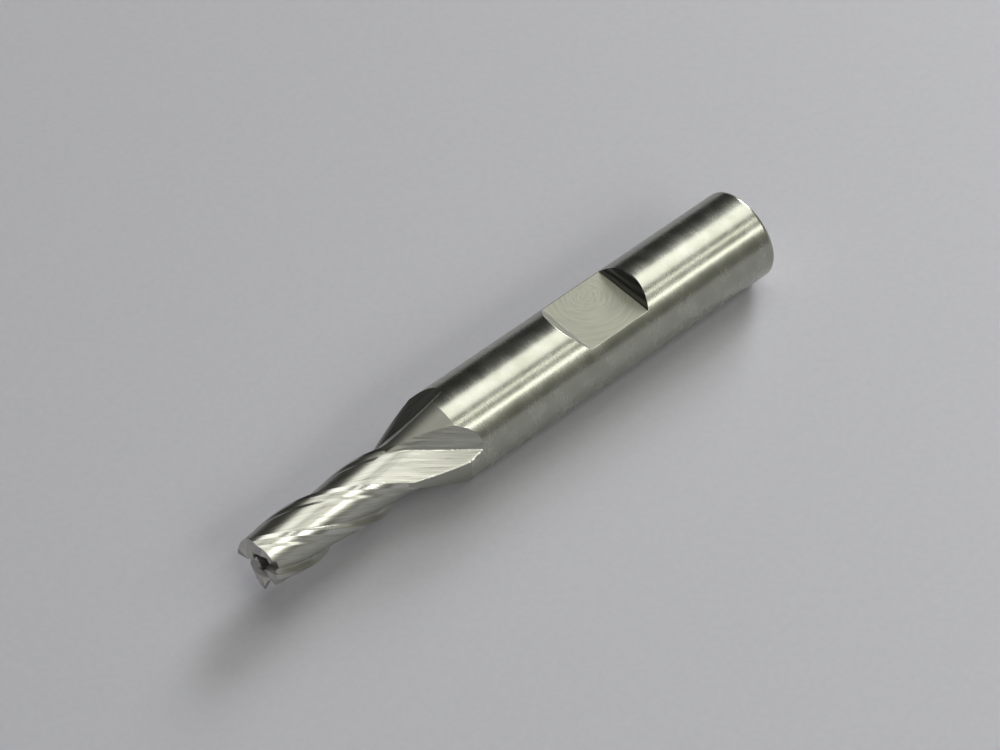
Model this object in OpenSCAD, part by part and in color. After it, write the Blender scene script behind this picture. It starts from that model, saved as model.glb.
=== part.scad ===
// Four-flute end mill with a stepped-down cutter, ground from one bar of high-speed steel.
// The rear end face is at x = 0, the tool axis is X and the cutting end points to +X.
// Stations marked t are distances from the cutting end towards the rear.
// The clamping flat faces +Z. The seams between the portions are planes across the axis.

/* [Overall] */
// Overall length, from the rear face to the cutting end
overall_l = 61.91; // [58:0.01:70]
// Diameter of the shank
shank_d = 9.525; // [9.5:0.005:9.6]
// Diameter across the cutting edges
cutter_d = 6; // [5.8:0.05:6.2]

/* [Cone] */
// Station where the cutter starts to widen into the cone
cone_start = 16; // [15.9:0.1:16.2]
// Station where the cone reaches the shank diameter
cone_end = 22.22; // [21.8:0.02:22.6]

/* [Clamping flat] */
// Distance from the rear face to the middle of the flat
flat_center = 19.64; // [18:0.02:21]
// Length of the flat bottom along the axis
flat_l = 7.35; // [6.5:0.05:8]
// Height of the flat above the axis
flat_h = 3.2; // [3.1:0.02:3.5]
// Slope of the end wall nearer the cutter, from the flat
front_wall_angle = 45; // [40:1:70]
// Slope of the end wall nearer the rear, from the flat
rear_wall_angle = 56; // [45:1:75]

/* [Rear end] */
// Size of the chamfer around the rear face
rear_chamfer = 0.5; // [0.2:0.05:1]
// Mouth diameter of the centre hole in the rear face
rear_hole_d = 2.6; // [2:0.1:3.2]
// Pilot diameter of the centre hole in the rear face
rear_pilot_d = 1.2; // [0.8:0.1:1.6]

/* [Flutes] */
// Advance of the helix in one turn
lead = 32.65; // [32:0.05:33.5]
// Angle of the first cutting corner at the end, from +Y towards +Z
corner_angle = 18; // [0:1:89]
// Depth lost over the narrow relief behind each cutting edge
primary_drop = 0.07; // [0.02:0.01:0.1]
// Depth lost by the far edge of the wider relief
secondary_drop = 0.26; // [0.15:0.01:0.32]

/* [End teeth] */
// Diameter of the centre hole in the cutting end
tip_hole_d = 2; // [1.6:0.1:2.2]
// Depth of the centre hole in the cutting end
tip_hole_depth = 2.4; // [1.6:0.1:3]
// Width of the gash in front of each end tooth
gash_w = 0.75; // [0.6:0.05:1.1]
// Depth of the gash at the axis
gash_depth = 0.5; // [0.4:0.05:1]
// Slope of the gash floor, deeper towards the outside
gash_angle = 6; // [0:1:25]
// Relief angle just behind each end cutting edge
near_relief = 5; // [3:0.5:8]
// Relief angle farther behind the edge
far_relief = 18; // [10:1:25]

/* [Hidden] */

flutes = 4;
pitch_angle = 360 / flutes;
head_l = 17.5;           // station of the seam between cutting head and shoulder
shank_l = 27;            // from the rear face to the seam between shank and shoulder
cutter_r = cutter_d / 2;
shank_r = shank_d / 2;
twist = 360 / lead;      // degrees of turn in a millimetre of length
big = 30;                // longer than anything that a cutter has to clear
round_fn = 96;
drawn_corner = 18;       // corner angle at which the wheel directions below were set

// The grinding wheel at the end of its pass: a wide shallow cone that makes the floor of the
// flute and a steep one on the heel side. Its place is given in (t, Y, Z).
wheel_r = 64;
wheel_angle = 33.5;      // setting of the wheel to the tool axis
wheel_dir = 63 + corner_angle - drawn_corner; // direction in which the wheel lies off the axis
wheel_offset = 0.5;
wheel_station = 17.8;
wheel_reach = 2.81;
floor_slope = tan(-11.6);
heel_slope = -tan(45.2);
wheel_side = -2.99;      // place of the flat side that cuts the rake face
wheel_width = 14;
pass_step = 0.5;         // spacing of the wheel positions along the pass
pass_length = 16;        // length of the pass that can reach one section
pass_ahead = 3;          // how far in front of a section the wheel can still cut it
facing = 0.3;            // rays turned farther than this off the wheel would meet its far side

radial = [0, cos(wheel_dir), sin(wheel_dir)];
tangent = [0, -sin(wheel_dir), cos(wheel_dir)];
wheel_axis = sin(wheel_angle) * [1, 0, 0] + cos(wheel_angle) * tangent;
wheel_c = [wheel_station, 0, 0] + wheel_offset * tangent + (wheel_reach + wheel_r) * radial;

// Distance from the tool axis at which a ray meets one cone of the wheel, or big if it misses.
function cone_hit(d0, ray, slope) =
    let (w0 = d0 * wheel_axis,
         wr = ray * wheel_axis,
         a = 1 - wr * wr * (1 + slope * slope),
         b = d0 * ray - w0 * wr - slope * wr * (wheel_r + slope * w0),
         c = d0 * d0 - w0 * w0 - pow(wheel_r + slope * w0, 2),
         q = b * b - a * c)
    q < 0 ? big : (-b - sqrt(q)) / a;

// Depth of the cut that the wheel leaves at one station and angle, with the wheel moved
// back along the helix by pull millimetres.
function wheel_cut(t, angle, pull) =
    let (th = angle - pull * twist,
         ray = [0, cos(th), sin(th)],
         d0 = [t + pull, 0, 0] - wheel_c,
         wr = ray * wheel_axis,
         side = (wheel_side - d0 * wheel_axis) / wr,
         r = max(cone_hit(d0, ray, floor_slope), cone_hit(d0, ray, heel_slope)))
    ray * radial < facing ? big : wr > 0 ? max(r, side) : (r > side ? big : r);

// The deepest cut that any wheel position along the pass leaves.
function flute_r(t, angle) =
    let (last = max(0, wheel_station - t) + pass_ahead)
    min([for (pull = [max(0, last - pass_length) : pass_step : last]) wheel_cut(t, angle, pull)]);

// Turning angle of the first cutting edge at a station.
function edge_angle(t) = corner_angle + pitch_angle - t * twist;

// Outside of the blank behind a cutting edge, where back is the angle behind that edge.
primary_w = 10;
secondary_w = 21;
fade_past = 0.3;         // the relief ends this far behind the start of the cone
fade_l = 1.2;            // length over which the relief runs out
function relief(back) =
    back < primary_w ? primary_drop * back / primary_w
    : primary_drop + (secondary_drop - primary_drop) * (back - primary_w) / (secondary_w - primary_w);
function cone_r(t) = cutter_r + (shank_r - cutter_r) * (t - cone_start) / (cone_end - cone_start);
function fade(t) = min(1, max(0, (cone_start + fade_past - t) / fade_l));
function blank_r(t, phi) =
    max(cutter_r, cone_r(t)) - fade(t) * relief(phi > pitch_angle / 2 ? pitch_angle - phi : 0);

function head_r(t, phi) =
    let (angle = edge_angle(t) + phi)
    min(blank_r(t, phi), flute_r(t, angle), flute_r(t, angle + pitch_angle));

// Angles ahead of a cutting edge at which the head is sampled, closer at the rake face and
// at the heel, where the section bends.
samples = concat([0, 0.8, 1.8, 3, 5],
                 [for (a = [8 : 4 : 64]) a],
                 [66, 67.5, 69, 71, 74, 77, 80, 83, 86.5]);
// Stations of the sampled sections, closer where the flutes run out.
steady = 6;              // up to here every section is the same shape, only turned
run_out = 13.5;
helix_step = 0.5;
run_out_step = 0.3;
rings = concat([for (t = [0 : helix_step : run_out]) t],
               [for (t = [run_out + run_out_step : run_out_step : head_l - run_out_step / 2]) t],
               [head_l]);
per_ring = flutes * len(samples);

module head_blank() {
    section = [for (phi = samples) head_r(steady, phi)];
    points = [for (t = rings)
                 let (row = t <= steady ? section : [for (phi = samples) head_r(t, phi)])
                 for (k = [0 : flutes - 1], i = [0 : len(samples) - 1])
                     let (angle = edge_angle(t) + samples[i] + k * pitch_angle)
                     [overall_l - t, row[i] * cos(angle), row[i] * sin(angle)]];
    last = (len(rings) - 1) * per_ring;
    sides = [for (j = [0 : len(rings) - 2], i = [0 : per_ring - 1])
                 let (a = j * per_ring + i,
                      b = j * per_ring + (i + 1) % per_ring)
                 each [[a, b, b + per_ring], [a, b + per_ring, a + per_ring]]];
    polyhedron(points = concat(points, [[overall_l, 0, 0], [overall_l - head_l, 0, 0]]),
               faces = concat(sides,
                   [for (i = [0 : per_ring - 1]) [len(points), (i + 1) % per_ring, i]],
                   [for (i = [0 : per_ring - 1]) [len(points) + 1, last + i, last + (i + 1) % per_ring]]),
               convexity = 8);
}

// Notch in front of one end tooth, whose cutting edge lies along local +Y and whose rake
// face looks along local +Z.
module end_gash() {
    rotate([0, 0, gash_angle])
        translate([-gash_depth, -1, 0])
            rotate([-90, 0, 0])
                linear_extrude(height = big)
                    polygon([[0, 0],
                             [big, 0],
                             [big, -gash_w - big],
                             [0, -gash_w]]);
}

// Two-step relief of one end face, falling away behind the cutting edge along local +Y.
module end_relief() {
    near_w = 1;
    far_w = 4;
    near_drop = near_w * tan(near_relief);
    rotate([-90, 0, 0])
        linear_extrude(height = big)
            polygon([[0, 0],
                     [-near_drop, near_w],
                     [-near_drop - (far_w - near_w) * tan(far_relief), far_w],
                     [big, far_w],
                     [big, 0]]);
}

module cutting_head() {
    color("silver")
        resize([0, 0, 0])
            difference() {
                head_blank();
                translate([overall_l, 0, 0])
                    for (k = [0 : flutes - 1])
                        rotate([corner_angle + k * pitch_angle, 0, 0]) {
                            end_gash();
                            end_relief();
                        }
                translate([overall_l - tip_hole_depth, 0, 0])
                    rotate([0, 90, 0])
                        cylinder(d = tip_hole_d, h = big, $fn = 48);
            }
}

// The grinding wheel at the end of its pass, as a solid in the tool's own frame.
module wheel() {
    azimuth = atan2(wheel_axis[1], -wheel_axis[0]);
    translate([overall_l - wheel_c[0], wheel_c[1], wheel_c[2]])
        rotate([0, acos(wheel_axis[2]), azimuth])
            rotate_extrude($fn = 360)
                polygon([[0, wheel_side],
                         [wheel_r + floor_slope * wheel_side, wheel_side],
                         [wheel_r, 0],
                         [wheel_r + heel_slope * wheel_width, wheel_width],
                         [0, wheel_width]]);
}

// Front stretch of the full diameter and the cone, with the run-outs of the flutes.
module shoulder() {
    color("darkgray")
        difference() {
            union() {
                translate([shank_l, 0, 0])
                    rotate([0, 90, 0])
                        cylinder(r = shank_r, h = overall_l - shank_l - cone_end, $fn = round_fn);
                translate([overall_l - cone_end, 0, 0])
                    rotate([0, 90, 0])
                        cylinder(r1 = shank_r, r2 = cone_r(head_l), h = cone_end - head_l, $fn = round_fn);
            }
            for (k = [0 : flutes - 1])
                rotate([k * pitch_angle, 0, 0])
                    wheel();
        }
}

// Material removed above the clamping flat, with its two sloping end walls.
module flat_cut() {
    rise = shank_r;
    front = flat_center + flat_l / 2;
    rear = flat_center - flat_l / 2;
    translate([0, shank_d, flat_h])
        rotate([90, 0, 0])
            linear_extrude(height = 2 * shank_d)
                polygon([[rear, 0],
                         [front, 0],
                         [front + rise / tan(front_wall_angle), rise],
                         [rear - rise / tan(rear_wall_angle), rise]]);
}

// Body of the shank with its rear chamfer and centre hole, turned about the axis.
module shank_turned() {
    mouth_r = rear_hole_d / 2;
    pilot_r = rear_pilot_d / 2;
    mouth_depth = (mouth_r - pilot_r) / tan(30);
    pilot_depth = mouth_depth + 2 * rear_pilot_d;
    rotate([0, 90, 0])
        rotate_extrude($fn = round_fn)
            polygon([[0, pilot_depth + pilot_r],
                     [pilot_r, pilot_depth],
                     [pilot_r, mouth_depth],
                     [mouth_r, 0],
                     [shank_r - rear_chamfer, 0],
                     [shank_r, rear_chamfer],
                     [shank_r, shank_l],
                     [0, shank_l]]);
}

module shank() {
    color("gainsboro")
        difference() {
            shank_turned();
            flat_cut();
        }
}

shank();
shoulder();
cutting_head();
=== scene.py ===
"""Four-flute end mill: ground cutting head and neck, plain shank with a clamping flat."""
import math

import bmesh
import bpy
from mathutils import Matrix, Vector


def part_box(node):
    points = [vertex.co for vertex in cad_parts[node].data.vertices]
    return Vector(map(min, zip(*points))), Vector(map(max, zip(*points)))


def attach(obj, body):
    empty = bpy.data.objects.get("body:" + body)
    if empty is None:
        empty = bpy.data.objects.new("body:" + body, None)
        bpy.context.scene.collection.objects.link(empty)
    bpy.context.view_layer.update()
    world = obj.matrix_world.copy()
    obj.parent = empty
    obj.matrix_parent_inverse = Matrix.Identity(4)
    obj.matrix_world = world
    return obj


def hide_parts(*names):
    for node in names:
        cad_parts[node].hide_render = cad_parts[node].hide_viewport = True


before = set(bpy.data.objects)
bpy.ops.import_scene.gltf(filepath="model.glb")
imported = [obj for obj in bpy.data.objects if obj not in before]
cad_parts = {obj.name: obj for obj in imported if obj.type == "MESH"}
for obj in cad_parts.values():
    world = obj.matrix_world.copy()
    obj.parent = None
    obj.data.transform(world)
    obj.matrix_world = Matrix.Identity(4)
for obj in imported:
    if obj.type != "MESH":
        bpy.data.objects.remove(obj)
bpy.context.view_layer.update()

MM = 0.001
TURN = 2.0 * math.pi

# ---------------------------------------------------------------- sizes, in millimetres
_, SHANK_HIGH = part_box("shank")
_, HEAD_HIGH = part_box("cutting_head")
LENGTH = HEAD_HIGH[0] / MM
SHANK_R = SHANK_HIGH[1] / MM
SHANK_LENGTH = SHANK_HIGH[0] / MM
FLUTES = 4
PITCH = TURN / FLUTES
WHEEL_SETTING = 33.5
FLAT_CENTER = 19.64
FLAT_LENGTH = 7.35
FLAT_HEIGHT = 3.2
FLAT_FRONT = FLAT_CENTER + FLAT_LENGTH / 2.0
FLAT_REAR = FLAT_CENTER - FLAT_LENGTH / 2.0
FRONT_WALL_ANGLE = 45.0
REAR_WALL_ANGLE = 56.0
REAR_CHAMFER = 0.5
REAR_HOLE_R = 1.3
REAR_PILOT_R = 0.6
REAR_MOUTH_ANGLE = 30.0
EDGE_BREAK = 0.05


# ---------------------------------------------------------------- camera
def make_camera():
    """Stands off the cutting end, high on the +Y side, with a long lens and a slight roll."""
    data = bpy.data.cameras.new("camera")
    data.sensor_width = 36.0
    data.lens = 149.6
    data.clip_start = 0.01
    camera = bpy.data.objects.new("camera", data)
    bpy.context.collection.objects.link(camera)
    place = Vector((202.25, 199.70, 294.43)) * MM
    target = Vector((29.98, -2.20, 0.0)) * MM
    aim = (target - place).to_track_quat("-Z", "Y").to_matrix()
    roll = Matrix.Rotation(math.radians(-1.91), 3, "Z")
    camera.matrix_world = Matrix.Translation(place) @ (aim @ roll).to_4x4()
    bpy.context.scene.camera = camera


make_camera()


# ---------------------------------------------------------------- writing node trees
class Value:
    """A number on a wire, so that sums of wires can be written as plain sums."""

    def __init__(self, sheet, socket):
        self.sheet = sheet
        self.socket = socket

    def __add__(self, other):
        return self.sheet.math("ADD", self, other)

    def __sub__(self, other):
        return self.sheet.math("SUBTRACT", self, other)

    def __mul__(self, other):
        return self.sheet.math("MULTIPLY", self, other)

    def __truediv__(self, other):
        return self.sheet.math("DIVIDE", self, other)

    def __radd__(self, other):
        return self.sheet.math("ADD", other, self)

    def __rsub__(self, other):
        return self.sheet.math("SUBTRACT", other, self)

    def __rtruediv__(self, other):
        return self.sheet.math("DIVIDE", other, self)

    def __neg__(self):
        return self.sheet.math("MULTIPLY", self, -1.0)


class Sheet:
    """One node tree and the short calls that write in it."""

    def __init__(self, tree):
        self.tree = tree

    def node(self, kind, **settings):
        node = self.tree.nodes.new(kind)
        for name, value in settings.items():
            setattr(node, name, value)
        return node

    def join(self, target, value):
        """Wires a socket or a Value to an input, or sets the input to a plain number."""
        if isinstance(value, Value):
            self.tree.links.new(value.socket, target)
        elif isinstance(value, bpy.types.NodeSocket):
            self.tree.links.new(value, target)
        else:
            target.default_value = value

    def math(self, operation, *values):
        node = self.node("ShaderNodeMath", operation=operation)
        for target, value in zip(node.inputs, values):
            self.join(target, value)
        return Value(self, node.outputs[0])

    def sine(self, a):
        return self.math("SINE", a)

    def cosine(self, a):
        return self.math("COSINE", a)

    def root(self, a):
        return self.math("SQRT", a)

    def lower(self, a, b):
        return self.math("MINIMUM", a, b)

    def higher(self, a, b):
        return self.math("MAXIMUM", a, b)

    def above(self, a, b):
        return self.math("GREATER_THAN", a, b)

    def clamp(self, a):
        return self.lower(self.higher(a, 0.0), 1.0)

    def pick(self, test, yes, no):
        return no + test * (yes - no) if isinstance(no, Value) else test * (yes - no) + no

    def vector(self, x, y, z):
        node = self.node("ShaderNodeCombineXYZ")
        for target, value in zip(node.inputs, (x, y, z)):
            self.join(target, value)
        return node.outputs[0]

    def split(self, socket):
        node = self.node("ShaderNodeSeparateXYZ")
        self.join(node.inputs[0], socket)
        return [Value(self, out) for out in node.outputs]


def new_tree(name, inputs):
    """A geometry node tree with named inputs and one geometry output."""
    tree = bpy.data.node_groups.new(name, "GeometryNodeTree")
    sockets = {}
    for label, kind, value in inputs:
        item = tree.interface.new_socket(label, in_out="INPUT", socket_type=kind)
        if value is not None:
            item.default_value = value
        sockets[label] = item.identifier
    tree.interface.new_socket("Geometry", in_out="OUTPUT", socket_type="NodeSocketGeometry")
    return tree, sockets


def grow(name, tree, sockets, settings):
    """Evaluates a tree on an empty mesh and returns the result as a plain mesh object."""
    seed = bpy.data.objects.new(name + "_seed", bpy.data.meshes.new(name + "_seed"))
    bpy.context.collection.objects.link(seed)
    modifier = seed.modifiers.new("grow", "NODES")
    modifier.node_group = tree
    for label, value in settings.items():
        modifier[sockets[label]] = value
    bpy.context.view_layer.update()
    grown = seed.evaluated_get(bpy.context.evaluated_depsgraph_get())
    mesh = bpy.data.meshes.new_from_object(grown)
    mesh.name = name
    piece = bpy.data.objects.new(name, mesh)
    bpy.context.collection.objects.link(piece)
    seed.modifiers.remove(modifier)
    bpy.data.objects.remove(seed)
    return piece


# ---------------------------------------------------------------- materials
def steel(name, color, roughness, anisotropic=0.0):
    """A metal with a node tree; returns the material, its sheet and the shader."""
    material = bpy.data.materials.new(name)
    material.use_nodes = True
    sheet = Sheet(material.node_tree)
    shader = material.node_tree.nodes["Principled BSDF"]
    shader.inputs["Metallic"].default_value = 1.0
    shader.inputs["Base Color"].default_value = (*color, 1.0)
    shader.inputs["Roughness"].default_value = roughness
    shader.inputs["Anisotropic"].default_value = anisotropic
    return material, sheet, shader


def object_place(sheet):
    return sheet.node("ShaderNodeTexCoord").outputs["Object"]


def ground_lines(sheet):
    """Stored coordinates of the flutes: place across the wheel's lines, then the station."""
    return sheet.node("ShaderNodeAttribute", attribute_name="ground_lines").outputs["Vector"]


def scratches(sheet, coordinates, scale, detail=4.0):
    """Noise drawn out into lines: scale holds how fast it changes along each coordinate."""
    mapping = sheet.node("ShaderNodeMapping", vector_type="POINT")
    sheet.join(mapping.inputs["Vector"], coordinates)
    mapping.inputs["Scale"].default_value = scale
    noise = sheet.node("ShaderNodeTexNoise")
    sheet.join(noise.inputs["Vector"], mapping.outputs[0])
    noise.inputs["Scale"].default_value = 1.0
    noise.inputs["Detail"].default_value = detail
    return Value(sheet, noise.outputs["Fac"])


def ramp(sheet, value, stops):
    node = sheet.node("ShaderNodeValToRGB")
    sheet.join(node.inputs[0], value)
    elements = node.color_ramp.elements
    while len(elements) < len(stops):
        elements.new(1.0)
    for element, (place, color) in zip(elements, stops):
        element.position = place
        element.color = (*color, 1.0)
    return node.outputs["Color"]


def bump(sheet, shader, height, strength, distance):
    node = sheet.node("ShaderNodeBump")
    node.inputs["Strength"].default_value = strength
    node.inputs["Distance"].default_value = distance
    sheet.join(node.inputs["Height"], height)
    sheet.join(shader.inputs["Normal"], node.outputs[0])


def rolled(sheet, radius):
    """Object coordinates with every point brought to one radius, so patterns close round the bar."""
    x, y, z = sheet.split(object_place(sheet))
    angle = sheet.math("ARCTAN2", z, y)
    return sheet.vector(x, sheet.cosine(angle) * radius, sheet.sine(angle) * radius)


def shank_steel():
    """Centreless-ground shank: fine marks around the axis, a little handling wear."""
    material, sheet, shader = steel("ground_shank_steel", (0.42, 0.42, 0.39), 0.2, 0.3)
    # A small radius draws the noise out into long marks; one near the bar's own leaves blotches.
    marks = scratches(sheet, rolled(sheet, 0.0003), (5000.0, 5000.0, 5000.0), 2.0)
    blotches = scratches(sheet, rolled(sheet, 0.004), (520.0, 520.0, 520.0), 3.0)
    sheet.join(shader.inputs["Roughness"], marks * 0.05 + blotches * 0.1 + 0.19)
    color = ramp(sheet, blotches, [(0.3, (0.365, 0.37, 0.315)), (0.7, (0.46, 0.465, 0.41))])
    sheet.join(shader.inputs["Base Color"], color)
    bump(sheet, shader, blotches, 0.3, 0.00002)
    # Marks that run round the bar spread its highlights along it.
    tangent = sheet.node("ShaderNodeTangent", direction_type="RADIAL", axis="X")
    sheet.join(shader.inputs["Tangent"], tangent.outputs[0])
    shader.inputs["Anisotropic Rotation"].default_value = 0.25
    return material


def flute_steel():
    """Flutes ground bright: straight fine lines that follow the wheel along each groove."""
    material, sheet, shader = steel("ground_flute_steel", (0.5, 0.5, 0.47), 0.3, 0.4)
    fine = scratches(sheet, ground_lines(sheet), (10.0, 0.35, 1.0), 5.0)
    wide = scratches(sheet, ground_lines(sheet), (4.5, 0.2, 1.0), 3.0)
    sheet.join(shader.inputs["Roughness"], fine * 0.16 + wide * 0.12 + 0.165)
    color = ramp(sheet, fine * 0.5 + wide * 0.5,
                 [(0.35, (0.34, 0.34, 0.305)), (0.65, (0.57, 0.57, 0.525))])
    sheet.join(shader.inputs["Base Color"], color)
    bump(sheet, shader, fine * 0.5 + wide * 0.5, 0.5, 0.00003)
    # The grinding lines spread highlights across the helix.
    _, y, z = sheet.split(object_place(sheet))
    distance = sheet.root(y * y + z * z)
    lean, upright = math.sin(math.radians(WHEEL_SETTING)), math.cos(math.radians(WHEEL_SETTING))
    spread = sheet.vector(-lean, z / distance * -upright, y / distance * upright)
    sheet.join(shader.inputs["Tangent"], spread)
    return material


def land_steel():
    """Narrow relief ground behind the cutting edges, smoother than the flutes."""
    material, sheet, shader = steel("ground_land_steel", (0.50, 0.50, 0.475), 0.2)
    fine = scratches(sheet, ground_lines(sheet), (10.0, 1.6, 1.0), 4.0)
    sheet.join(shader.inputs["Roughness"], fine * 0.12 + 0.18)
    bump(sheet, shader, fine, 0.12, 0.00001)
    return material


def cone_steel():
    """Turned and ground cone: satin, with faint rings."""
    material, sheet, shader = steel("satin_cone_steel", (0.35, 0.35, 0.315), 0.36)
    rings = scratches(sheet, rolled(sheet, 0.0006), (7000.0, 7000.0, 7000.0))
    sheet.join(shader.inputs["Roughness"], rings * 0.14 + 0.3)
    bump(sheet, shader, rings, 0.3, 0.00002)
    return material


def end_steel():
    """End faces and gashes, ground coarser and left darker."""
    material, sheet, shader = steel("end_face_steel", (0.58, 0.57, 0.54), 0.38)
    lines = scratches(sheet, object_place(sheet), (900.0, 9000.0, 2500.0))
    sheet.join(shader.inputs["Roughness"], lines * 0.2 + 0.28)
    bump(sheet, shader, lines, 0.4, 0.00002)
    return material


def flat_steel():
    """Milled clamping flat: matt, with faint arcs about a point on its -Y side."""
    material, sheet, shader = steel("milled_flat_steel", (0.36, 0.36, 0.30), 0.62)
    x, y, _ = sheet.split(object_place(sheet))
    behind_middle, beside_middle = 0.67, 2.1
    dx = x - (FLAT_CENTER - behind_middle) * MM
    dy = y + beside_middle * MM
    radius = sheet.root(dx * dx + dy * dy)
    around = sheet.vector(radius, sheet.math("ARCTAN2", dy, dx) * 0.0004, 0.0)
    arcs = scratches(sheet, around, (3600.0, 3600.0, 1.0))
    color = ramp(sheet, arcs, [(0.35, (0.325, 0.325, 0.265)), (0.65, (0.39, 0.39, 0.33))])
    sheet.join(shader.inputs["Base Color"], color)
    sheet.join(shader.inputs["Roughness"], arcs * 0.16 + 0.56)
    bump(sheet, shader, arcs, 0.6, 0.00004)
    return material


def wall_steel():
    """End walls of the flat, scored straight across by the cutter's flank; their steel is darkened as
    painted shade.
    """
    material, sheet, shader = steel("scored_wall_steel_painted_shade", (0.21, 0.21, 0.19), 0.34)
    lines = scratches(sheet, object_place(sheet), (3000.0, 120.0, 3000.0))
    # Painted shade: the walls' base colour is kept far darker than the other steel; the light and
    # dark lines in it are the scoring.
    color = ramp(sheet, lines, [(0.4, (0.13, 0.13, 0.12)), (0.65, (0.42, 0.42, 0.39))])
    sheet.join(shader.inputs["Base Color"], color)
    sheet.join(shader.inputs["Roughness"], lines * 0.25 + 0.2)
    bump(sheet, shader, lines, 1.0, 0.0001)
    return material


def floor_paint():
    """Pale, faintly lilac paint with a fine grain."""
    material = bpy.data.materials.new("pale_floor")
    material.use_nodes = True
    sheet = Sheet(material.node_tree)
    shader = material.node_tree.nodes["Principled BSDF"]
    grain = scratches(sheet, object_place(sheet), (1500.0, 1500.0, 1500.0), 3.0)
    color = ramp(sheet, grain, [(0.3, (0.405, 0.404, 0.44)), (0.7, (0.425, 0.424, 0.46))])
    sheet.join(shader.inputs["Base Color"], color)
    shader.inputs["Roughness"].default_value = 0.55
    return material


SHANK_STEEL = shank_steel()
FLUTE_STEEL = flute_steel()
LAND_STEEL = land_steel()
CONE_STEEL = cone_steel()
END_STEEL = end_steel()
FLAT_STEEL = flat_steel()
WALL_STEEL_PAINTED_SHADE = wall_steel()


# ---------------------------------------------------------------- cutting head and neck
# Stations are distances from the cutting end towards the rear.
HEAD_SIZES = {
    "Overall length": LENGTH,
    "Head length": LENGTH - SHANK_LENGTH,
    "Cutter radius": 3.0,
    "Shank radius": SHANK_R,
    "Cone start": 16.0,
    "Cone end": 22.22,
    "Run-out end": 24.7,
    "Steady station": 6.0,
    "Lead": 32.65,
    "Corner angle": math.radians(18.0),
    "Wheel radius": 64.0,
    "Wheel setting": math.radians(WHEEL_SETTING),
    "Wheel direction": math.radians(63.0),
    "Wheel offset": 0.5,
    "Wheel station": 17.8,
    "Wheel reach": 2.81,
    "Floor slope": math.tan(math.radians(-11.6)),
    "Heel slope": -math.tan(math.radians(45.2)),
    "Wheel side": -2.99,
    "Primary width": math.radians(10.0),
    "Primary drop": 0.07,
    "Relief width": math.radians(21.0),
    "Relief drop": 0.26,
    "Relief overrun": 1.0,
    "Relief end": 2.6,
    "Near relief": math.tan(math.radians(5.0)),
    "Far relief": math.tan(math.radians(18.0)),
    "Gash depth": 0.5,
    "Gash slope": math.tan(math.radians(6.0)),
    "Gash width": 0.75,
    "Hole radius": 1.0,
    "Hole depth": 2.4,
}
HEAD_STEELS = {
    "Flute steel": FLUTE_STEEL,
    "Land steel": LAND_STEEL,
    "Cone steel": CONE_STEEL,
    "Shank steel": SHANK_STEEL,
    "End steel": END_STEEL,
}
FAR = 30.0
FACING = 0.3
FLUTE_COLUMNS = 84
EDGE_CROWDING = 0.6
WELD = 0.002
CRISP_ANGLE = 8.0


def cone_hit(s, reach, lean, start, wheel_radius, slope):
    """Distance from the tool axis at which a ray meets one cone of the grinding wheel.

    reach is the squared length from the wheel's centre to the ray's start, lean its product
    with the ray, and start the start's place and the ray's rise along the wheel axis.
    """
    along, rise = start
    a = 1.0 - rise * rise * (1.0 + slope * slope)
    b = lean - along * rise - slope * rise * (wheel_radius + slope * along)
    edge = wheel_radius + slope * along
    c = reach - along * along - edge * edge
    q = b * b - a * c
    hit = (-b - s.root(s.higher(q, 0.0))) / a
    return s.pick(s.above(q, 0.0), hit, FAR)


def wheel_cut(s, g, station, angle, pull):
    """Depth that the wheel leaves at a station and angle, and the line that it draws there."""
    turned = angle - pull * (TURN / g["Lead"])
    ray_y, ray_z = s.cosine(turned), s.sine(turned)
    start_x = station + pull - g["centre x"]
    along = start_x * g["axis x"] - g["centre y"] * g["axis y"] - g["centre z"] * g["axis z"]
    rise = ray_y * g["axis y"] + ray_z * g["axis z"]
    lean = (ray_y * g["centre y"] + ray_z * g["centre z"]) * -1.0
    reach = start_x * start_x + g["centre y"] * g["centre y"] + g["centre z"] * g["centre z"]
    floor = cone_hit(s, reach, lean, (along, rise), g["Wheel radius"], g["Floor slope"])
    heel = cone_hit(s, reach, lean, (along, rise), g["Wheel radius"], g["Heel slope"])
    depth = s.higher(floor, heel)
    side = (g["Wheel side"] - along) / rise
    rising = s.above(rise, 0.0)
    kept = s.pick(s.above(depth, side), FAR, depth)
    depth = s.pick(rising, s.higher(depth, side), kept)
    # Rays that point away from the wheel, or nearly across it, are left uncut.
    facing = s.above(ray_y * g["out y"] + ray_z * g["out z"], FACING)
    depth = s.pick(facing, depth, FAR)
    return depth, along + depth * rise


def wheel_place(s, g):
    """Adds the direction, axis and centre of the wheel at the end of its pass."""
    g["out y"], g["out z"] = s.cosine(g["Wheel direction"]), s.sine(g["Wheel direction"])
    g["axis x"] = s.sine(g["Wheel setting"])
    g["axis y"] = -(s.cosine(g["Wheel setting"]) * g["out z"])
    g["axis z"] = s.cosine(g["Wheel setting"]) * g["out y"]
    far = g["Wheel reach"] + g["Wheel radius"]
    g["centre x"] = g["Wheel station"]
    g["centre y"] = far * g["out y"] - g["Wheel offset"] * g["out z"]
    g["centre z"] = far * g["out z"] + g["Wheel offset"] * g["out y"]


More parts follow.
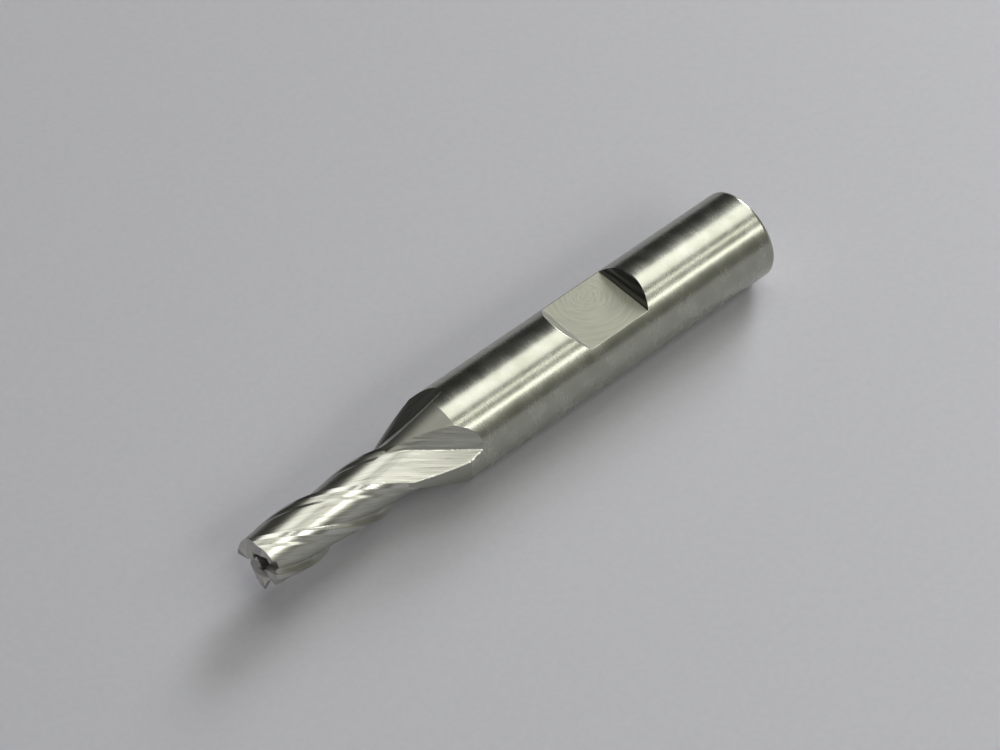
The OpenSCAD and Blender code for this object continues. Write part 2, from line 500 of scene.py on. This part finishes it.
def deepest_cut(s, g, station, angle):
    """Repeats the wheel along the helix and keeps the deepest cut and its line."""
    passes, step, overrun = 64, 0.25, 3.0
    enter = s.node("GeometryNodeRepeatInput")
    leave = s.node("GeometryNodeRepeatOutput")
    enter.pair_with_output(leave)
    for label in ("Depth", "Line"):
        leave.repeat_items.new("FLOAT", label)
    enter.inputs["Iterations"].default_value = passes
    enter.inputs["Depth"].default_value = FAR
    enter.inputs["Line"].default_value = 0.0
    depth = Value(s, enter.outputs["Depth"])
    line = Value(s, enter.outputs["Line"])
    nearest = s.higher(g["Wheel station"] - station, 0.0) + overrun - passes * step
    pull = s.higher(nearest + Value(s, enter.outputs["Iteration"]) * step, 0.0)
    for turn in (0.0, PITCH, 2.0 * PITCH):
        cut, drawn = wheel_cut(s, g, station, angle + turn, pull)
        deeper = s.above(depth, cut)
        line = s.pick(deeper, drawn, line)
        depth = s.lower(depth, cut)
    s.join(leave.inputs["Depth"], depth)
    s.join(leave.inputs["Line"], line)
    return Value(s, leave.outputs["Depth"]), Value(s, leave.outputs["Line"])


def box_cutter(s, verts, shape):
    """A box whose corners are moved by shape(u, v, w), with u, v and w from 0 to 1."""
    cube = s.node("GeometryNodeMeshCube")
    cube.inputs["Size"].default_value = (1.0, 1.0, 1.0)
    for label, count in zip(("Vertices X", "Vertices Y", "Vertices Z"), verts):
        cube.inputs[label].default_value = count
    u, v, w = s.split(s.node("GeometryNodeInputPosition").outputs[0])
    move = s.node("GeometryNodeSetPosition")
    s.join(move.inputs["Geometry"], cube.outputs["Mesh"])
    s.join(move.inputs["Position"], s.vector(*shape(u + 0.5, v + 0.5, w + 0.5)))
    return move.outputs[0]


def tooth_cutters(s, g):
    """Relief and gash of one end tooth, whose cutting edge lies along +Y."""
    near_end, far_end = 1.0, 4.0
    above_end = 4.0
    outward = 8.0
    gash_height = 5.0
    past_axis = 1.0

    def relief(u, v, w):
        # w runs from the far side to the cutting edge in two steps.
        behind = s.pick(s.above(w, 0.75), 0.0, s.pick(s.above(w, 0.25), near_end, far_end))
        drop = (s.lower(behind, near_end) * g["Near relief"]
                + s.higher(behind - near_end, 0.0) * g["Far relief"])
        return s.pick(s.above(u, 0.5), above_end, -drop), v * outward, -behind

    def gash(u, v, w):
        x = u * gash_height
        return (x - g["Gash depth"] - v * outward * g["Gash slope"],
                v * outward - past_axis, w * (g["Gash width"] + x))

    return box_cutter(s, (2, 2, 3), relief), box_cutter(s, (2, 2, 2), gash)


def end_cutters(s, g):
    """Gashes and reliefs of all the end teeth and the centre hole, as one solid."""
    tools = s.node("GeometryNodeJoinGeometry")
    for cutter in tooth_cutters(s, g):
        s.join(tools.inputs[0], cutter)
    spots = s.node("GeometryNodeMeshLine")
    spots.inputs["Count"].default_value = FLUTES
    spots.inputs["Offset"].default_value = (0.0, 0.0, 0.0)
    place = s.node("GeometryNodeInstanceOnPoints")
    s.join(place.inputs["Points"], spots.outputs[0])
    s.join(place.inputs["Instance"], tools.outputs[0])
    index = Value(s, s.node("GeometryNodeInputIndex").outputs[0])
    s.join(place.inputs["Rotation"], s.vector(g["Corner angle"] + index * PITCH, 0.0, 0.0))
    real = s.node("GeometryNodeRealizeInstances")
    s.join(real.inputs[0], place.outputs[0])
    hole = s.node("GeometryNodeMeshCylinder")
    hole.inputs["Vertices"].default_value = 72
    s.join(hole.inputs["Radius"], g["Hole radius"])
    s.join(hole.inputs["Depth"], g["Hole depth"] * 2.0)
    lay = s.node("GeometryNodeTransform")
    s.join(lay.inputs["Geometry"], hole.outputs["Mesh"])
    lay.inputs["Rotation"].default_value = (0.0, math.pi / 2.0, 0.0)
    union = s.node("GeometryNodeMeshBoolean", operation="UNION", solver="EXACT")
    union.inputs["Self Intersection"].default_value = True
    s.join(union.inputs["Mesh 2"], real.outputs[0])
    s.join(union.inputs["Mesh 2"], lay.outputs[0])
    move = s.node("GeometryNodeTransform")
    s.join(move.inputs["Geometry"], union.outputs[0])
    s.join(move.inputs["Translation"], s.vector(g["Overall length"], 0.0, 0.0))
    return move.outputs[0]


def head_grid(s, g):
    """A flat grid; each point's station, edge angle, angle past the edge, flute and end flag."""
    # Rows from the cutting end to each station: the helix, the cone, the run-outs, the plain rest.
    stretches = [(g["Cone start"], 150), (g["Cone end"], 66),
                 (g["Run-out end"], 26), (g["Head length"], 6)]
    rows = sum(count for _, count in stretches) + 3
    grid = s.node("GeometryNodeMeshGrid")
    grid.inputs["Vertices X"].default_value = FLUTES * FLUTE_COLUMNS + 1
    grid.inputs["Vertices Y"].default_value = rows
    index = Value(s, s.node("GeometryNodeInputIndex").outputs[0])
    # The grid counts its points along Y first.
    column = s.math("FLOOR", (index + 0.5) / rows)
    row = index - column * rows
    # The first and last rows close the ends, and a row lies exactly on each station.
    station, done, before = 0.0, 1.0, 0.0
    for end, count in stretches:
        station = station + s.clamp((row - done) / float(count)) * (end - before)
        done, before = done + count, end
    is_end = s.above(0.5, row) + s.above(row, rows - 1.5)
    # Columns lie closer at the cutting edges than in the middle of the flutes.
    turns = column / float(FLUTE_COLUMNS)
    rounding = 0.0001
    flute = s.math("FLOOR", turns + rounding)
    within = turns - flute
    ahead = (within - s.sine(within * TURN) * (EDGE_CROWDING / TURN)) * PITCH
    # The columns follow the helix as far as the flutes reach, then run straight.
    helix = s.lower(station, g["Run-out end"])
    edge = g["Corner angle"] + PITCH - helix * (TURN / g["Lead"])
    return grid.outputs["Mesh"], station, edge, ahead, flute, is_end


def blank_radius(s, g, station, ahead):
    """Outside of the head before the flutes, with the angle behind the edge and the relief's fade."""
    behind = s.pick(s.above(ahead, PITCH * 0.5), PITCH - ahead, 0.0)
    slope_1 = g["Primary drop"] / g["Primary width"]
    slope_2 = (g["Relief drop"] - g["Primary drop"]) / (g["Relief width"] - g["Primary width"])
    relief = (s.lower(behind, g["Primary width"]) * slope_1
              + s.higher(behind - g["Primary width"], 0.0) * slope_2)
    # Past the relief the blank comes back to its full size by the middle of the flute.
    relief = relief * s.clamp((PITCH * 0.5 - behind) / (PITCH * 0.5 - g["Relief width"]))
    fade = s.clamp((g["Cone start"] + g["Relief overrun"] - station) / g["Relief end"])
    fade = fade * fade * (3.0 - fade * 2.0)
    cone = (g["Shank radius"] - g["Cutter radius"]) / (g["Cone end"] - g["Cone start"])
    outside = g["Cutter radius"] + s.higher(station - g["Cone start"], 0.0) * cone
    return s.lower(outside, g["Shank radius"]) - fade * relief, behind, fade


def store(s, geometry, label, kind, value):
    """Keeps a value on the points, for the materials and for the painting."""
    keep = s.node("GeometryNodeStoreNamedAttribute", data_type=kind, domain="POINT")
    s.join(keep.inputs["Geometry"], geometry)
    keep.inputs["Name"].default_value = label
    s.join(keep.inputs["Value"], value)
    return keep.outputs[0]


def head_surface(s, g):
    """The grid rolled round the axis and pushed in to the deepest cut, as a closed skin."""
    mesh, station, edge, ahead, flute, is_end = head_grid(s, g)
    # Up to the steady station every section is the same shape, only turned.
    steady = s.higher(station, g["Steady station"])
    unturned = edge + ahead + (station - steady) * (TURN / g["Lead"])
    cut, line = deepest_cut(s, g, steady, unturned)
    blank, behind, fade = blank_radius(s, g, station, ahead)
    reach = s.lower(blank, cut) * (1.0 - is_end)
    angle = edge + ahead + flute * PITCH
    shape = s.vector(g["Overall length"] - station, reach * s.cosine(angle), reach * s.sine(angle))
    # The wide relief is ground like the flutes; only the narrow one is smooth.
    least_cut, least_fade = 0.0005, 0.02
    is_cut = s.above(blank - least_cut, cut)
    is_wide_relief = s.above(behind, g["Primary width"]) * s.above(fade, least_fade)
    mesh = store(s, mesh, "ground_lines", "FLOAT_VECTOR", s.vector(line, station, 0.0))
    mesh = store(s, mesh, "ground", "FLOAT", s.higher(is_cut, is_wide_relief))
    roll = s.node("GeometryNodeSetPosition")
    s.join(roll.inputs["Geometry"], mesh)
    s.join(roll.inputs["Position"], shape)
    weld = s.node("GeometryNodeMergeByDistance")
    s.join(weld.inputs["Geometry"], roll.outputs[0])
    weld.inputs["Distance"].default_value = WELD
    return weld.outputs[0]


def paint_head(s, g, paint, skin):
    """Gives each region of the skin its steel, from the relief lands up to the end faces."""
    ground_share, end_facing, end_depth = 0.45, 0.9, 0.01
    place = g["Overall length"] - s.split(s.node("GeometryNodeInputPosition").outputs[0])[0]
    named = s.node("GeometryNodeInputNamedAttribute", data_type="FLOAT")
    named.inputs["Name"].default_value = "ground"
    is_ground = Value(s, named.outputs["Attribute"])
    normal_x = s.split(s.node("GeometryNodeInputNormal").outputs[0])[0]
    skin = paint(skin, "Land steel")
    skin = paint(skin, "Cone steel", s.above(place, g["Cone start"]))
    skin = paint(skin, "Shank steel", s.above(place, g["Cone end"]))
    skin = paint(skin, "Flute steel", s.above(is_ground, ground_share))
    is_end = s.above(normal_x, end_facing) * s.above(end_depth, place)
    return paint(skin, "End steel", is_end)


def head_tree():
    """Tree of the fluted head: the ground skin, less the cutters of the end teeth, in metres."""
    inputs = [(label, "NodeSocketFloat", value) for label, value in HEAD_SIZES.items()]
    inputs += [(label, "NodeSocketMaterial", None) for label in HEAD_STEELS]
    tree, sockets = new_tree("fluted_head", inputs)
    s = Sheet(tree)
    group = s.node("NodeGroupInput")
    g = {label: Value(s, group.outputs[label]) for label in HEAD_SIZES}
    wheel_place(s, g)

    def paint(geometry, label, test=None):
        node = s.node("GeometryNodeSetMaterial")
        s.join(node.inputs["Geometry"], geometry)
        s.join(node.inputs["Material"], group.outputs[label])
        if test is not None:
            s.join(node.inputs["Selection"], test)
        return node.outputs[0]

    bite = s.node("GeometryNodeMeshBoolean", operation="DIFFERENCE", solver="MANIFOLD")
    s.join(bite.inputs["Mesh 1"], paint_head(s, g, paint, head_surface(s, g)))
    s.join(bite.inputs["Mesh 2"], paint(end_cutters(s, g), "End steel"))
    smooth = s.node("GeometryNodeSetShadeSmooth", domain="FACE")
    s.join(smooth.inputs["Geometry"], bite.outputs[0])
    crisp = s.node("GeometryNodeSetShadeSmooth", domain="EDGE")
    s.join(crisp.inputs["Geometry"], smooth.outputs[0])
    bend = Value(s, s.node("GeometryNodeInputMeshEdgeAngle").outputs["Unsigned Angle"])
    s.join(crisp.inputs["Selection"], s.above(bend, math.radians(CRISP_ANGLE)))
    crisp.inputs["Shade Smooth"].default_value = False
    scale = s.node("GeometryNodeTransform")
    s.join(scale.inputs["Geometry"], crisp.outputs[0])
    scale.inputs["Scale"].default_value = (MM, MM, MM)
    out = s.node("NodeGroupOutput")
    s.join(out.inputs[0], scale.outputs[0])
    return tree, sockets


def make_head():
    tree, sockets = head_tree()
    return grow("fluted_head_and_neck", tree, sockets, {**HEAD_SIZES, **HEAD_STEELS})


# ---------------------------------------------------------------- shank
def mesh_object(name, bm):
    """Turns a finished bmesh into a linked object, with its faces pointing outwards."""
    bmesh.ops.recalc_face_normals(bm, faces=bm.faces)
    mesh = bpy.data.meshes.new(name)
    bm.to_mesh(mesh)
    bm.free()
    piece = bpy.data.objects.new(name, mesh)
    bpy.context.collection.objects.link(piece)
    return piece


def lathe(name, outline, segments):
    """Turns an outline of (x, radius) points about the X axis into a closed mesh, in metres."""
    bm = bmesh.new()
    turns = [TURN * i / segments for i in range(segments)]
    rings = []
    for x, radius in outline:
        if radius == 0.0:
            rings.append([bm.verts.new((x * MM, 0.0, 0.0))])
            continue
        rings.append([bm.verts.new((x * MM, radius * MM * math.cos(a), radius * MM * math.sin(a)))
                      for a in turns])
    for low, high in zip(rings, rings[1:]):
        for i in range(segments):
            j = (i + 1) % segments
            corners = [low[i % len(low)], low[j % len(low)], high[j % len(high)], high[i % len(high)]]
            bm.faces.new(list(dict.fromkeys(corners)))
    return mesh_object(name, bm)


def arc(center_x, center_r, radius, start, end, steps):
    """Points of a round corner in the (x, radius) plane, angles in degrees from +x."""
    angles = [math.radians(start + (end - start) * i / steps) for i in range(steps + 1)]
    return [(center_x + radius * math.cos(a), center_r + radius * math.sin(a)) for a in angles]


def flat_cutter():
    """Prism that clears the clamping flat and its two sloping end walls."""
    rise = SHANK_R
    half_width = 2.0 * SHANK_R
    outline = [
        (FLAT_REAR, FLAT_HEIGHT),
        (FLAT_FRONT, FLAT_HEIGHT),
        (FLAT_FRONT + rise / math.tan(math.radians(FRONT_WALL_ANGLE)), FLAT_HEIGHT + rise),
        (FLAT_REAR - rise / math.tan(math.radians(REAR_WALL_ANGLE)), FLAT_HEIGHT + rise),
    ]
    bm = bmesh.new()
    near = [bm.verts.new((x * MM, -half_width * MM, z * MM)) for x, z in outline]
    far = [bm.verts.new((x * MM, half_width * MM, z * MM)) for x, z in outline]
    bm.faces.new(near)
    bm.faces.new(far[::-1])
    for i in range(len(outline)):
        j = (i + 1) % len(outline)
        bm.faces.new([near[i], far[i], far[j], near[j]])
    return mesh_object("flat_cutter", bm)


def apply_modifiers(piece):
    """Replaces a piece's mesh with its modified form."""
    bpy.context.view_layer.update()
    grown = piece.evaluated_get(bpy.context.evaluated_depsgraph_get())
    mesh = bpy.data.meshes.new_from_object(grown)
    piece.modifiers.clear()
    piece.data = mesh


SHANK_FINISHES = (SHANK_STEEL, FLAT_STEEL, WALL_STEEL_PAINTED_SHADE, END_STEEL)
ON_FLAT, ON_WALL, ON_END = 1, 2, 3


def paint_shank(mesh):
    """Gives the flat, its end walls and the rear end their own finishes."""
    skin, upward = 0.12, 0.98
    rear_face, rear_hole = 0.02, 8.0
    walls_above = FLAT_HEIGHT - 0.1
    walls_from, walls_to = 5.0, SHANK_LENGTH - 1.0
    for material in SHANK_FINISHES:
        mesh.materials.append(material)
    for face in mesh.polygons:
        x, y, z = (c / MM for c in face.center)
        inside = math.hypot(y, z) < SHANK_R - skin
        face.use_smooth = True
        if face.normal.z > upward and inside:
            face.material_index = ON_FLAT
        elif inside and z > walls_above and walls_from < x < walls_to:
            face.material_index = ON_WALL
        elif x < rear_face or (inside and x < rear_hole):
            face.material_index = ON_END


def mark_real_edges(mesh):
    """Weights the bar's corners for the bevel, but not the seam at the head."""
    corner_angle = math.radians(25.0)
    seam = (SHANK_LENGTH - 0.1) * MM
    bm = bmesh.new()
    bm.from_mesh(mesh)
    weight = bm.edges.layers.float.new("bevel_weight_edge")
    for edge in bm.edges:
        middle = (edge.verts[0].co + edge.verts[1].co) / 2.0
        if edge.calc_face_angle(0.0) > corner_angle and middle.x < seam:
            edge[weight] = 1.0
    bm.to_mesh(mesh)
    bm.free()


def set_round_normals(mesh):
    """Points the normals of the round surface straight off the axis, so highlights run true."""
    tolerance = 0.002
    normals = [Vector((0.0, 0.0, 0.0)) for _ in mesh.loops]
    for face in mesh.polygons:
        places = [mesh.vertices[i].co for i in face.vertices]
        is_round = all(math.hypot(p.y, p.z) > (SHANK_R - tolerance) * MM for p in places)
        for loop, place in zip(face.loop_indices, places):
            if is_round:
                normals[loop] = Vector((0.0, place.y, place.z)).normalized()
            elif face.material_index in (ON_FLAT, ON_WALL):
                normals[loop] = face.normal.copy()
    mesh.normals_split_custom_set(normals)


def make_shank():
    """Turns the bar, clears the flat, breaks the real edges and sets finishes and normals."""
    segments, corner_steps, sharp_angle = 336, 8, 35.0
    mouth = (REAR_HOLE_R - REAR_PILOT_R) / math.tan(math.radians(REAR_MOUTH_ANGLE))
    pilot = mouth + 4.0 * REAR_PILOT_R
    outline = [(pilot + REAR_PILOT_R, 0.0), (pilot, REAR_PILOT_R), (mouth, REAR_PILOT_R),
               (0.0, REAR_HOLE_R)]
    outline += arc(REAR_CHAMFER, SHANK_R - REAR_CHAMFER, REAR_CHAMFER, 180.0, 90.0,
                   corner_steps)
    outline += [(SHANK_LENGTH, SHANK_R), (SHANK_LENGTH, 0.0)]
    piece = lathe("ground_shank", outline, segments)
    cutter = flat_cutter()
    cut = piece.modifiers.new("flat", "BOOLEAN")
    cut.operation = "DIFFERENCE"
    cut.solver = "EXACT"
    cut.object = cutter
    apply_modifiers(piece)
    bpy.data.objects.remove(cutter)
    mark_real_edges(piece.data)
    edge = piece.modifiers.new("edges", "BEVEL")
    edge.width = EDGE_BREAK * MM
    edge.segments = 2
    edge.limit_method = "WEIGHT"
    apply_modifiers(piece)
    paint_shank(piece.data)
    piece.data.set_sharp_from_angle(angle=math.radians(sharp_angle))
    set_round_normals(piece.data)
    return piece


# ---------------------------------------------------------------- studio, in metres
def make_floor():
    half = 1.5
    mesh = bpy.data.meshes.new("floor")
    corners = [(-half, -half), (half, -half), (half, half), (-half, half)]
    mesh.from_pydata([(x, y, -SHANK_R * MM) for x, y in corners], [], [(0, 1, 2, 3)])
    mesh.materials.append(floor_paint())
    floor = bpy.data.objects.new("floor", mesh)
    bpy.context.collection.objects.link(floor)


def softbox(name, place, target, size, radiance, color):
    """An area light whose power is set from its radiance and its area."""
    data = bpy.data.lights.new(name, "AREA")
    data.shape = "RECTANGLE"
    data.size, data.size_y = size
    watts = 4.0
    data.energy = radiance * size[0] * size[1] * watts
    data.color = color
    light = bpy.data.objects.new(name, data)
    bpy.context.collection.objects.link(light)
    light.location = place
    light.rotation_euler = (target - place).to_track_quat("-Z", "Y").to_euler()


def ring(degrees):
    """Direction across the tool axis, from +Y up over the top."""
    return Vector((0.0, math.cos(math.radians(degrees)), math.sin(math.radians(degrees))))


def make_room():
    """A dim room: darker behind the tool than in front of it."""
    world = bpy.data.worlds.new("room")
    bpy.context.scene.world = world
    world.use_nodes = True
    sheet = Sheet(world.node_tree)
    background = world.node_tree.nodes["Background"]
    _, y, _ = sheet.split(sheet.node("ShaderNodeTexCoord").outputs["Generated"])
    walls = ramp(sheet, y * 0.5 + 0.5, [(0.0, (0.03, 0.03, 0.026)), (0.3, (0.035, 0.035, 0.03)),
                                        (0.8, (0.22, 0.22, 0.19)), (1.0, (0.15, 0.15, 0.13))])
    sheet.join(background.inputs["Color"], walls)
    background.inputs["Strength"].default_value = 1.0


def make_lights():
    """Long softboxes that lie along the tool, and a small bright one behind its rear end."""
    middle = Vector((0.03, 0.0, 0.0))
    for name, degrees, along, width, length, radiance, color in (
            ("overhead_softbox", 97.0, -0.55, 0.64, 1.2, 1.6, (1.0, 1.0, 0.95)),
            ("narrow_softbox", 63.5, -0.35, 0.09, 1.3, 3.0, (1.0, 1.0, 0.92)),
            ("side_softbox", 41.0, -0.45, 0.13, 1.2, 3.6, (1.0, 1.0, 0.94)),
            ("facet_softbox", 32.5, 0.02, 0.24, 0.5, 3.6, (1.0, 1.0, 0.94))):
        target = middle + Vector((along, 0.0, 0.0))
        softbox(name, target + ring(degrees), target, (length, width), radiance, color)
    rear = middle + Vector((-1.3, -0.55, 0.75))
    softbox("rear_softbox", rear, middle, (0.6, 0.6), 11.5, (0.97, 0.98, 1.0))


head = make_head()
shank = make_shank()
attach(head, "root")
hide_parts("cutting_head", "shoulder")
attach(shank, "root")
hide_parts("shank")

make_floor()
make_room()
make_lights()
bpy.context.scene.view_settings.view_transform = "Standard"
